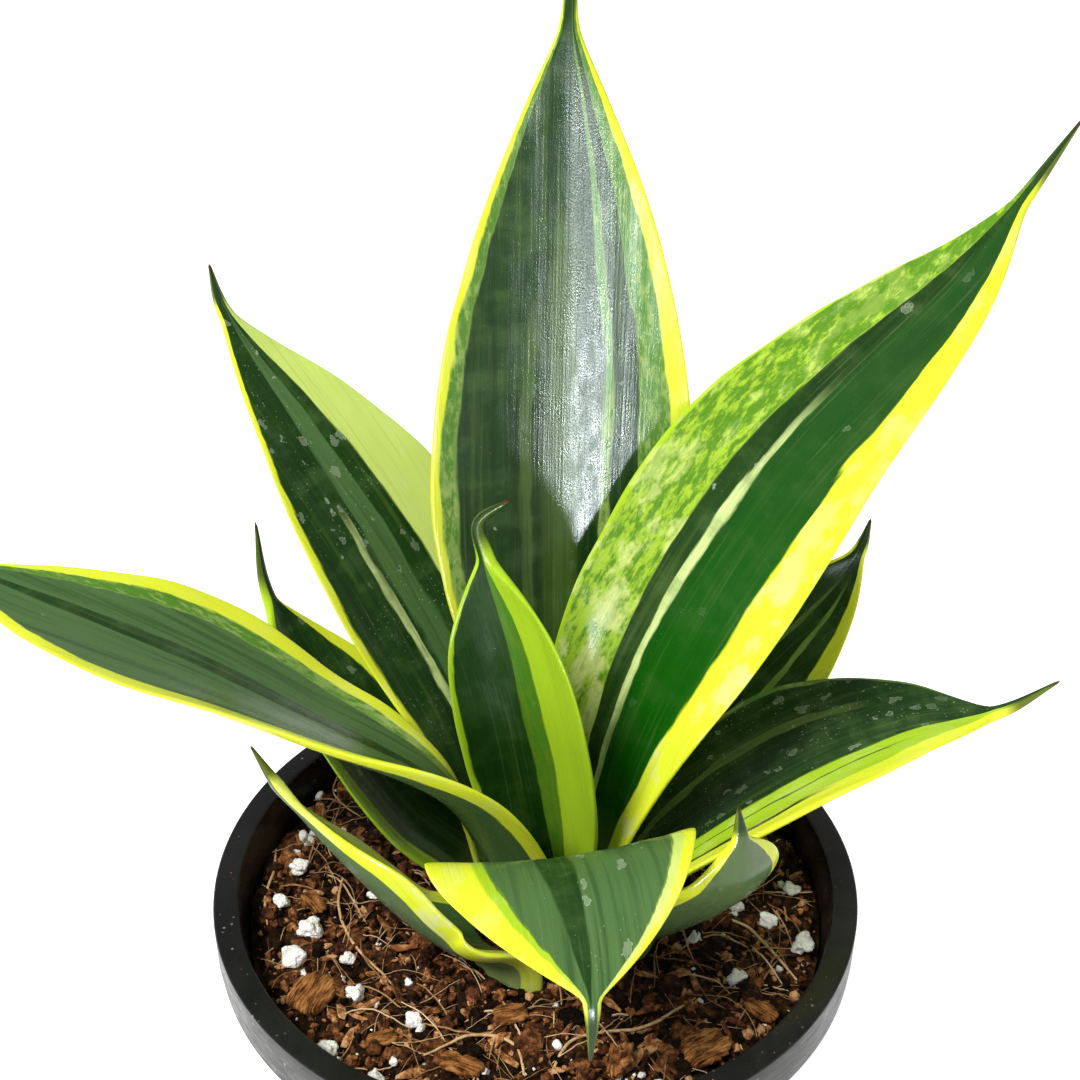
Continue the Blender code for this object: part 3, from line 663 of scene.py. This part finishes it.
def make_leaf(leaf, number):
    points, direction, t, q, stations = middle_line(leaf)
    turn = ease(t / 0.45)
    heading = np.radians(leaf.foot_azimuth + (leaf.heading - leaf.foot_azimuth) * turn)
    side = np.stack([np.sin(heading), -np.cos(heading), 0 * heading], axis=1)
    side -= (side * direction).sum(axis=1)[:, None] * direction
    side /= np.linalg.norm(side, axis=1)[:, None]
    up = np.cross(side, direction)
    roll = np.radians(three_way(leaf.roll, t, leaf.roll_middle))[:, None]
    side, up = side * np.cos(roll) + up * np.sin(roll), up * np.cos(roll) - side * np.sin(roll)

    thorn_radius = THORN_RADIUS * (1 - 0.85 * q)
    width = half_widths(leaf, t, thorn_radius)
    curl = three_way((leaf.foot_half / leaf.foot_radius, *leaf.curl), t, 0.5)
    curl = np.maximum(curl * (1 - 0.9 * q), 0.001)[:, None]
    across = np.sin(np.linspace(-np.pi / 2, np.pi / 2, ACROSS))
    angle = curl * across

    # Each margin waves a little on its own.
    on_blade = (ease(t / 0.15) * ease((1 - t) / 0.12))[:, None]
    left, right = (wavy(stations, number + seed, 0.09)[:, None] for seed in (0.1, 0.6))
    wave = np.where(across < 0, left, right) * on_blade * np.abs(across) ** 3
    ribs = np.array([[noise.noise((7 * u * w / 20, 0.012 * s, number)) for u in across]
                     for s, w in zip(stations, width)])
    out = ((width[:, None] + 0.25 * wave) * np.sin(angle) / curl)[..., None]
    lift = (width[:, None] * (1 - np.cos(angle)) / curl + 0.7 * wave)[..., None]
    sheet = points[:, None] + side[:, None] * out + up[:, None] * lift
    normal = up[:, None] * np.cos(angle)[..., None] - side[:, None] * np.sin(angle)[..., None]

    blade_half = LEAF_THICKNESS / 2 * (1 - 0.45 * ease(t))
    to_thorn = ease((t - 0.85) / 0.15)
    half = blade_half * (1 - to_thorn) + 0.8 * thorn_radius * to_thorn
    edge = (1 - np.abs(across) ** 2.6) ** (1 / 2.6)
    depth = ((half[:, None] + 0.18 * ribs * on_blade) * edge)[..., None]
    upper = sheet + normal * depth
    lower = (sheet - normal * depth)[:, -2:0:-1]
    rings = np.concatenate([upper, lower], axis=1)[:-1]

    count = rings.shape[1]
    body = rings.reshape(-1, 3)
    apex = len(body)
    faces = ring_faces(len(rings), count)
    faces.append(tuple(range(count))[::-1])
    last = apex - count
    faces.extend((last + i, last + (i + 1) % count, apex) for i in range(count))
    skin = leaf_material(leaf, number)
    obj = add_mesh(leaf.name + "_fine", np.vstack([body, points[-1]]), faces, skin, 60)

    share = np.concatenate([across, across[-2:0:-1]])
    over = np.concatenate([np.zeros(ACROSS), np.ones(ACROSS - 2)])
    over[[0, ACROSS - 1]] = 0.5
    place = np.stack(np.broadcast_arrays((share[None] + 1) / 2, (t + q)[:-1, None]), axis=-1).reshape(-1, 2)
    size = np.stack(np.broadcast_arrays(share[None] * width[:-1, None], stations[:-1, None]), axis=-1)
    add_map(obj.data, "leaf", np.vstack([place, (0.5, 2)]))
    add_map(obj.data, "size", np.vstack([size.reshape(-1, 2), (0, stations[-1])]))
    add_number(obj.data, "under", np.concatenate([np.tile(over, len(rings)), [0.5]]))
    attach(obj, "root")
    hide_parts(leaf.name)


# --- pot ---


def arc(middle, radius, start, end):
    """Points on a quarter round, from the start to the end in degrees."""
    steps = 6
    points = []
    for k in range(steps + 1):
        angle = math.radians(start + (end - start) * k / steps)
        points.append((middle[0] + radius * math.cos(angle), middle[1] + radius * math.sin(angle)))
    return points


def inside_radius(z, height):
    """The pot's inside radius at height z."""
    low, high = FLOOR + 1.5, height - 0.6
    return BASE_RADIUS + (WALL_TOP_RADIUS - BASE_RADIUS) * (z - low) / (high - low) - WALL


def pot_outline(rim, height):
    """Radius and height from the middle of the pot's floor over its rim to the middle of its base."""
    lip = 0.55
    inside_top = WALL_TOP_RADIUS - WALL
    skirt_foot = height - SKIRT_DEPTH
    wall = [(BASE_RADIUS + (WALL_TOP_RADIUS - BASE_RADIUS) * share, height * share)
            for share in (0.86, 0.7, 0.5, 0.3)]
    return [
        (0.0, FLOOR),
        (12.0, FLOOR),
        (24.0, FLOOR),
        *arc((BASE_RADIUS - WALL - 1.5, FLOOR + 1.5), 1.5, -90, 0),
        (inside_radius(height * 0.5, height), height * 0.5),
        (inside_radius(MIX_TOP, height), MIX_TOP),
        *arc((inside_top + lip, height - lip), lip, 180, 90),
        *arc((rim - lip, height - lip), lip, 90, 0),
        (rim, skirt_foot + 2.5),
        (rim - 0.25, skirt_foot + 2.2),
        (rim - 0.25, skirt_foot + 0.3),
        (rim - 0.55, skirt_foot),
        (rim - WALL + 0.2, skirt_foot),
        (rim - WALL, skirt_foot + 0.2),
        (rim - WALL, height - WALL),
        (WALL_TOP_RADIUS, height - WALL - 0.3),
        *wall,
        (BASE_RADIUS + 2.2, 14.4),
        (BASE_RADIUS + 2.0, 14.0),
        (BASE_RADIUS + 1.2, 13.6),
        *arc((BASE_RADIUS - 1.5, 1.5), 1.5, 0, -90),
        (24.0, 0.0),
        (12.0, 0.0),
        (0.0, 0.0),
    ]


def make_pot(material):
    low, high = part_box("pot")
    rim, height = (high.x - low.x) / 2 / MM, high.z / MM
    outline = pot_outline(rim, height)
    steps = 192
    rings = []
    for radius, z in outline[1:-1]:
        ring = []
        for k in range(steps):
            angle = math.tau * k / steps
            # A thin moulded wall is never quite round.
            sway = 0.12 * math.sin(3 * angle + z / 40) * min(radius / rim, 1) ** 4
            sway = min(sway, rim - radius)
            ring.append(((radius + sway) * math.cos(angle), (radius + sway) * math.sin(angle), z))
        rings.append(ring)
    points = np.vstack([np.array(rings).reshape(-1, 3), [(0, 0, FLOOR), (0, 0, 0)]])
    inner, outer = len(points) - 2, len(points) - 1
    faces = ring_faces(len(rings), steps)
    last = (len(rings) - 1) * steps
    faces.extend(((i + 1) % steps, i, inner) for i in range(steps))
    faces.extend((last + i, last + (i + 1) % steps, outer) for i in range(steps))
    pot = add_mesh("pot_fine", points, faces, material, 35)
    cut_drains(pot)
    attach(pot, "root")
    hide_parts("pot")


def cut_drains(pot):
    """Cuts the ring of drain holes through the pot's floor."""
    bm = bmesh.new()
    for cosine, sine in circle(DRAIN_HOLES):
        made = bmesh.ops.create_cone(bm, cap_ends=True, segments=40, radius1=DRAIN_RADIUS * MM,
                                     radius2=DRAIN_RADIUS * MM, depth=4 * FLOOR * MM)
        shift = (DRAIN_RING * cosine * MM, DRAIN_RING * sine * MM, 0)
        bmesh.ops.translate(bm, verts=made["verts"], vec=shift)
    mesh = bpy.data.meshes.new("drain_cutter")
    bm.to_mesh(mesh)
    bm.free()
    cutter = bpy.data.objects.new("drain_cutter", mesh)
    bpy.context.scene.collection.objects.link(cutter)
    drains = pot.modifiers.new("drains", "BOOLEAN")
    drains.object = cutter
    graph = bpy.context.evaluated_depsgraph_get()
    cut = bpy.data.meshes.new_from_object(pot.evaluated_get(graph))
    pot.modifiers.clear()
    pot.data = cut
    bpy.data.objects.remove(cutter)


# --- potting mix ---


def plain_height(x, y):
    """The gently uneven top of the mix, as in the part."""
    broad = 0.5 * math.sin(x / 7 + 1) * math.cos(y / 6)
    return MIX_TOP + broad + 0.3 * math.sin((x + 2 * y) / 5)


def lumpy_height(x, y):
    """The top of the mix with its clods."""
    clods = noise.fractal(Vector((x, y, 3.0)) / 5.5, 0.8, 2.2, 4)
    crumbs = noise.noise(Vector((x, y, 9.0)) / 0.9)
    return plain_height(x, y) + 0.9 * clods + 0.3 * crumbs


def in_a_foot(x, y, clearance):
    """Whether this place is under a leaf where it comes out of the mix."""
    dx, dy = x - CROWN[0], y - CROWN[1]
    radius, azimuth = math.hypot(dx, dy), math.degrees(math.atan2(dy, dx))
    for leaf in LEAVES:
        away = abs((azimuth - leaf.foot_azimuth + 180) % 360 - 180)
        half = math.degrees((leaf.foot_half + clearance) / leaf.foot_radius)
        if away < half and abs(radius - leaf.foot_radius) < LEAF_THICKNESS / 2 + clearance:
            return True
    return False


def make_mix(material, height):
    """The mass of the mix: a lumpy top, and sides and a base that follow the inside of the pot."""
    steps, rows = 280, 110
    edge = inside_radius(MIX_TOP, height) - 0.5
    points = []
    for row in range(rows):
        radius = edge * (row + 1) / rows
        settle = 1.2 * max(0.0, 1 - (edge - radius) / 2.5)
        for cosine, sine in circle(steps):
            x, y = radius * cosine, radius * sine
            points.append((x, y, lumpy_height(x, y) - settle))
    for z in (MIX_TOP - 3, FLOOR + 1.5, FLOOR + 0.4):
        radius = inside_radius(z, height) - 0.5 - (1.5 if z < FLOOR + 1 else 0)
        points.extend((radius * cosine, radius * sine, z) for cosine, sine in circle(steps))
    rings = rows + 3
    top, base = len(points), len(points) + 1
    points.extend([(0, 0, lumpy_height(0, 0)), (0, 0, FLOOR + 0.4)])
    faces = [face[::-1] for face in ring_faces(rings, steps)]
    last = (rings - 1) * steps
    faces.extend((i, (i + 1) % steps, top) for i in range(steps))
    faces.extend((last + (i + 1) % steps, last + i, base) for i in range(steps))
    obj = add_mesh("mix_fine", points, faces, material, 50)
    tints = [0.28 + 0.5 * noise.noise(Vector(point) / 7) for point in points]
    add_number(obj.data, "tint", tints)
    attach(obj, "root")
    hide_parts("potting_mix")


def open_place(rng, reach, clearance):
    """A random place on the mix, clear of the leaves' feet."""
    while True:
        radius, angle = reach * math.sqrt(rng.random()), rng.uniform(0, math.tau)
        x, y = radius * math.cos(angle), radius * math.sin(angle)
        if not in_a_foot(x, y, clearance):
            return x, y


def random_turn(rng):
    """Any way up, as likely as any other."""
    axis = Vector([rng.gauss(0, 1) for _ in range(3)]).normalized()
    return Matrix.Rotation(rng.uniform(0, math.tau), 3, axis).to_quaternion()


def scatter_grains(heap, rng, number, smallest, largest, reach, tints, level, sink):
    """Adds rough grains half buried in the mix."""
    unit, faces = SPHERES[level]
    for _ in range(number):
        size = smallest + (largest - smallest) * rng.random() ** 2.2
        x, y = open_place(rng, reach - size, size)
        shape = rough(unit, rng.uniform(0, 99), 0.45, 0.25)
        stretch = (rng.uniform(0.7, 1.25), rng.uniform(0.7, 1.25), rng.uniform(0.55, 0.9))
        shape = turned(shape * stretch * size, random_turn(rng))
        z = lumpy_height(x, y) + size * rng.uniform(-sink, 0.6)
        heap.add(shape + (x, y, z), faces, rng.uniform(*tints))


def flake(rng, length, width, thickness):
    """A ragged splinter of bark with its length along X."""
    corners, rows = 7, ((0.55, -0.5), (1.0, -0.15), (0.95, 0.25), (0.5, 0.5))
    outline = []
    for k in range(corners):
        angle = math.tau * (k + rng.uniform(-0.25, 0.25)) / corners
        outline.append((math.cos(angle) * rng.uniform(0.8, 1), math.sin(angle) * rng.uniform(0.7, 1)))
    points = []
    for share, z in rows:
        for x, y in outline:
            lift = thickness * (z + rng.uniform(-0.15, 0.15))
            points.append((x * share * length / 2, y * share * width / 2, lift))
    faces = ring_faces(len(rows), corners)
    last = (len(rows) - 1) * corners
    for i in range(1, corners - 1):
        faces.append((0, i + 1, i, i))
        faces.append((last, last + i, last + i + 1, last + i + 1))
    return np.array(points), faces


def strand(route, radius, sides):
    """A closed tube along the route, thinner at both ends."""
    route = np.asarray(route, float)
    direction = np.gradient(route, axis=0)
    direction /= np.linalg.norm(direction, axis=1)[:, None]
    side = np.cross(direction, (0.13, 0.21, 1.0))
    side /= np.linalg.norm(side, axis=1)[:, None]
    up = np.cross(side, direction)
    share = np.linspace(0, 1, len(route))
    thick = radius * (1 - 0.45 * np.abs(2 * share - 1) ** 3)
    points = []
    for cosine, sine in circle(sides):
        points.append(route + (side * cosine + up * sine) * thick[:, None])
    points = np.stack(points, axis=1).reshape(-1, 3)
    faces = [face[::-1] for face in ring_faces(len(route), sides)]
    first, last = len(points), len(points) + 1
    points = np.vstack([points, route[0], route[-1]])
    tail = (len(route) - 1) * sides
    for i in range(sides):
        j = (i + 1) % sides
        faces.append((i, j, first, first))
        faces.append((tail + j, tail + i, last, last))
    return points, faces


def without_repeats(faces):
    """Drops the repeated corner that marks a triangle among quads."""
    return [face[:3] if len(face) == 4 and face[2] == face[3] else face for face in faces]


def scatter_litter(material, reach):
    """Crumbs, clods and splinters over the whole top of the mix."""
    rng = random.Random(7)
    heap = Heap()
    scatter_grains(heap, rng, CRUMBS, 0.2, 1.0, reach, (0.0, 1.0), 1, 0.4)
    scatter_grains(heap, rng, CLODS, 0.9, 2.2, reach, (0.0, 0.75), 3, 0.7)
    heap.build("mix_crumbs", material, "potting_mix")
    splinters = Heap()
    for _ in range(SPLINTERS):
        length = 1.4 + 5.5 * rng.random() ** 1.6
        points, faces = flake(rng, length, length * rng.uniform(0.18, 0.55), rng.uniform(0.35, 0.9))
        x, y = open_place(rng, reach - length / 2 - 0.5, length / 2)
        tilt = Matrix.Rotation(rng.gauss(0, 0.35), 3, "X") @ Matrix.Rotation(rng.gauss(0, 0.3), 3, "Y")
        turn = Matrix.Rotation(rng.uniform(0, math.tau), 3, "Z") @ tilt
        points = turned(points, turn.to_quaternion())
        z = lumpy_height(x, y) + rng.uniform(0.1, 1.0)
        splinters.add(points + (x, y, z), faces, rng.uniform(0.3, 1.0))
    splinters.faces = without_repeats(splinters.faces)
    splinters.build("mix_splinters", material, "bark", 25)


def scatter_fibres(material, reach):
    """Fine roots and coir hairs that curl over the mix."""
    rng = random.Random(11)
    heap = Heap()
    for _ in range(HAIRS):
        length, step = rng.uniform(4, 19), 0.7
        x, y = open_place(rng, reach - 2, 1.5)
        heading, bend = rng.uniform(0, math.tau), rng.gauss(0, 0.03)
        arch, seed = rng.uniform(0.2, 1.8), rng.uniform(0, 99)
        route = []
        count = int(length / step)
        for i in range(count):
            share = i / (count - 1)
            z = lumpy_height(x, y) * 0.5 + plain_height(x, y) * 0.5
            z += 0.35 + arch * math.sin(math.pi * share) + 0.35 * noise.noise((i * 0.35, seed, 0))
            route.append((x, y, z))
            bend = 0.9 * bend + rng.gauss(0, 0.03)
            heading += bend * step
            x, y = x + step * math.cos(heading), y + step * math.sin(heading)
            if math.hypot(x, y) > reach - 0.5 or in_a_foot(x, y, 0.6):
                break
        if len(route) > 5:
            points, faces = strand(route, 0.05 + 0.12 * rng.random() ** 2, 5)
            heap.add(points, faces, rng.uniform(0, 1))
    heap.faces = without_repeats(heap.faces)
    heap.build("mix_hairs", material, "coir", 60)


def scatter_white(material, reach, rim, height):
    """Chips of perlite in the mix and dust on the rim."""
    rng = random.Random(23)
    heap = Heap()
    scatter_grains(heap, rng, WHITE_CRUMBS, 0.22, 1.0, reach, (0, 1), 2, 0.3)
    heap.build("perlite_crumbs", material, "perlite", 60)
    dust = Heap()
    unit, faces = SPHERES[1]
    for _ in range(DUST_SPECKS):
        size = rng.uniform(0.1, 0.32)
        angle = rng.gauss(math.radians(330 if rng.random() < 0.5 else 190), 0.5)
        radius = rng.uniform(WALL_TOP_RADIUS - 0.6, rim - 0.9)
        shape = rough(unit, rng.uniform(0, 99), 0.4, 0.2) * size
        spot = (radius * math.cos(angle), radius * math.sin(angle), height - 0.6 * size)
        dust.add(shape * (1, 1, 0.8) + spot, faces, rng.random())
    return dust


def make_perlite(number, material):
    """A foamed grain that fills its CAD solid's box."""
    node = f"perlite_{number:02d}"
    low, high = (np.array(corner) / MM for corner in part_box(node))
    unit, faces = SPHERES[4]
    shape = rough(unit, 3.7 * number, 0.75, 0.14, 1.05)
    span = shape.max(axis=0) - shape.min(axis=0)
    shape = (shape - (shape.max(axis=0) + shape.min(axis=0)) / 2) / span * (high - low) * 1.02
    sink = (0, 0, -0.5)
    obj = add_mesh(node + "_fine", shape + (low + high) / 2 + sink, faces.tolist(), material, 60)
    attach(obj, "root")
    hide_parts(node)


def chip_axes(node):
    """Middle, axes and half sizes of a CAD chip, longest first."""
    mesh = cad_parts[node].data
    points = np.array([vert.co for vert in mesh.vertices]) / MM
    flat = points[:, :2] - points[:, :2].mean(axis=0)
    long_axis = np.linalg.svd(flat, full_matrices=False)[2][0]
    axes = np.array([[*long_axis, 0], [-long_axis[1], long_axis[0], 0], [0, 0, 1]])
    spans = points @ axes.T
    half = (spans.max(axis=0) - spans.min(axis=0)) / 2
    middle = (spans.max(axis=0) + spans.min(axis=0)) / 2 @ axes
    return middle, axes, half


def make_chip(number, material):
    """A weathered flake of bark: torn ends, split layers and grooves along its grain."""
    node = f"bark_chip_{number:02d}"
    middle, axes, half = chip_axes(node)
    seed = 3.1 * number
    steps, rows = 96, 16
    points, places = [], []
    for row in range(2 * rows + 1):
        fold = row / rows
        edge = math.sin(math.pi / 2 * min(fold, 2 - fold))
        side = 1 if fold <= 1 else -1
        for cosine, sine in circle(steps):
            corner = (abs(cosine) ** 3 + abs(sine) ** 3) ** (-1 / 3)
            torn = 0.97 - 0.22 * abs(noise.noise((2.2 * cosine, 2.2 * sine, seed)))
            torn -= 0.14 * abs(noise.noise((9 * sine, 3 * cosine, seed + 9))) * abs(cosine)
            x, y = (extent * corner * turn * torn * max(edge, 0.02)
                    for extent, turn in ((half[0], cosine), (half[1], sine)))
            groove = noise.fractal(Vector((x / 4, y * 1.6, seed)), 0.7, 2.1, 4)
            layer = math.floor(3.5 * (0.5 + 0.5 * noise.noise((x / 3.5, y / 1.8, seed + 3)))) / 3.5
            thin = (1 - edge**8) ** 0.5
            level = half[2] * (0.5 + 0.45 * layer + 0.16 * groove) * thin
            points.append((x, y, side * level))
            places.append((x + 40 * side, y))
    points = np.array(points) @ axes + middle
    points[:, 2] -= 0.3
    faces = ring_faces(2 * rows + 1, steps)
    last = 2 * rows * steps
    faces.append(tuple(range(steps))[::-1])
    faces.append(tuple(range(last, last + steps)))
    obj = add_mesh(node + "_fine", points, [face[::-1] for face in faces], material, 45)
    add_map(obj.data, "size", places)
    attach(obj, "root")
    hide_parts(node)


def make_fibre(number, route, material):
    """A wiry coir strand along the part's own route."""
    node = f"coir_fibre_{number:02d}"
    low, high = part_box(node)
    line = smooth_curve([(x, y, 0) for x, y in route], steps=16)
    lift = (low.z + high.z) / 2 / MM
    shape = [(x, y, lift + 0.35 * noise.noise((x * 0.3, y * 0.3, number))) for x, y, _ in line]
    points, faces = strand(shape, 0.26, 10)
    wrinkled = [point + 0.05 * Vector(noise.noise_vector(Vector(point) * 1.7)) for point in points]
    obj = add_mesh(node + "_fine", np.array(wrinkled), without_repeats(faces), material, 60)
    add_number(obj.data, "tint", np.full(len(points), 0.45 + 0.08 * number))
    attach(obj, "root")
    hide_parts(node)


# --- studio ---


FLOOR_REACH = 6000  # from the middle to each edge, in millimetres
WORLD_LIGHT = 0.42
BACKDROP_LIGHT = 1.05  # the world as the camera sees it
CAMERA_PLACE = (0.0003, -0.1957, 0.2702)
CAMERA_TILT = 59.6
CAMERA_ROLL = 0.48


def floor_material():
    s = Shader("studio_floor", Roughness=0.9, Specular_IOR_Level=0.0, Emission_Strength=0.75)
    s.bsdf.inputs["Emission Color"].default_value = (1, 1, 1, 1)
    cloud = s.noise(s.place(), 3, 3)
    s.set("Base Color", s.mix(cloud, (0.80, 0.80, 0.80), (0.84, 0.84, 0.84)))
    return s.material


def add_light(name, place, target, size, power, colour, mirrored):
    """An area light: a mirrored one is only seen in reflections, the other kind only lights."""
    data = bpy.data.lights.new(name, "AREA")
    data.shape = "RECTANGLE"
    data.size, data.size_y = size
    data.energy = power
    data.color = colour
    light = bpy.data.objects.new(name, data)
    bpy.context.scene.collection.objects.link(light)
    light.location = place
    light.visible_camera = False
    light.visible_glossy = mirrored
    light.visible_diffuse = not mirrored
    light.rotation_euler = (Vector(target) - Vector(place)).to_track_quat("-Z", "Y").to_euler()


def make_studio():
    far = FLOOR_REACH
    corners = ((-far, -far, 0), (far, -far, 0), (far, far, 0), (-far, far, 0))
    add_mesh("studio_floor", corners, [(0, 1, 2, 3)], floor_material())
    world = bpy.data.worlds.new("studio")
    world.use_nodes = True
    nodes, links = world.node_tree.nodes, world.node_tree.links
    nodes["Background"].inputs[0].default_value = (0.98, 0.99, 1, 1)
    # The backdrop is white where the camera sees it, and weaker as a light.
    seen = nodes.new("ShaderNodeLightPath")
    strength = nodes.new("ShaderNodeMath")
    strength.operation = "MULTIPLY_ADD"
    strength.inputs[1].default_value = BACKDROP_LIGHT - WORLD_LIGHT
    strength.inputs[2].default_value = WORLD_LIGHT
    links.new(seen.outputs["Is Camera Ray"], strength.inputs[0])
    links.new(strength.outputs[0], nodes["Background"].inputs[1])
    bpy.context.scene.world = world
    plant = (0, 0, 0.13)
    tall_leaf = (0.0067, 0.027, 0.162)
    add_light("key", (-1.0, -0.8, 1.9), plant, (0.8, 0.8), 60, (1, 0.985, 0.95), False)
    add_light("window", (-0.025, -0.48, 0.045), tall_leaf, (0.03, 0.05), 4.8, (0.88, 0.96, 1), True)
    bpy.context.scene.view_settings.view_transform = "Standard"


def make_camera():
    data = bpy.data.cameras.new("camera")
    data.lens = 50
    data.sensor_width = 36
    data.clip_start = 0.01
    camera = bpy.data.objects.new("camera", data)
    tilt = Matrix.Rotation(math.radians(CAMERA_TILT), 4, "X")
    roll = Matrix.Rotation(math.radians(CAMERA_ROLL), 4, "Z")
    camera.matrix_world = Matrix.Translation(CAMERA_PLACE) @ tilt @ roll
    bpy.context.scene.collection.objects.link(camera)
    bpy.context.scene.camera = camera


# --- the plant ---


def main():
    low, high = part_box("pot")
    rim, height = (high.x - low.x) / 2 / MM, high.z / MM
    reach = inside_radius(MIX_TOP, height) - 0.8
    make_camera()
    make_studio()
    make_pot(plastic_material())
    soil = mix_material("potting_earth", EARTH)
    make_mix(soil, height)
    for number, leaf in enumerate(LEAVES, 1):
        make_leaf(leaf, number)
    foam = perlite_material()
    for number in range(1, PERLITE_GRAINS + 1):
        make_perlite(number, foam)
    bark = bark_material()
    for number in range(1, BARK_CHIPS + 1):
        make_chip(number, bark)
    coir = mix_material("coir_hair", HAIR, bump=0.0001, scale=900)
    for number, route in enumerate(COIR_FIBRES, 1):
        make_fibre(number, route, coir)
    scatter_litter(soil, reach)
    scatter_fibres(coir, reach)
    scatter_white(foam, reach, rim, height).build("rim_dust", soil, "potting_mix")


main()
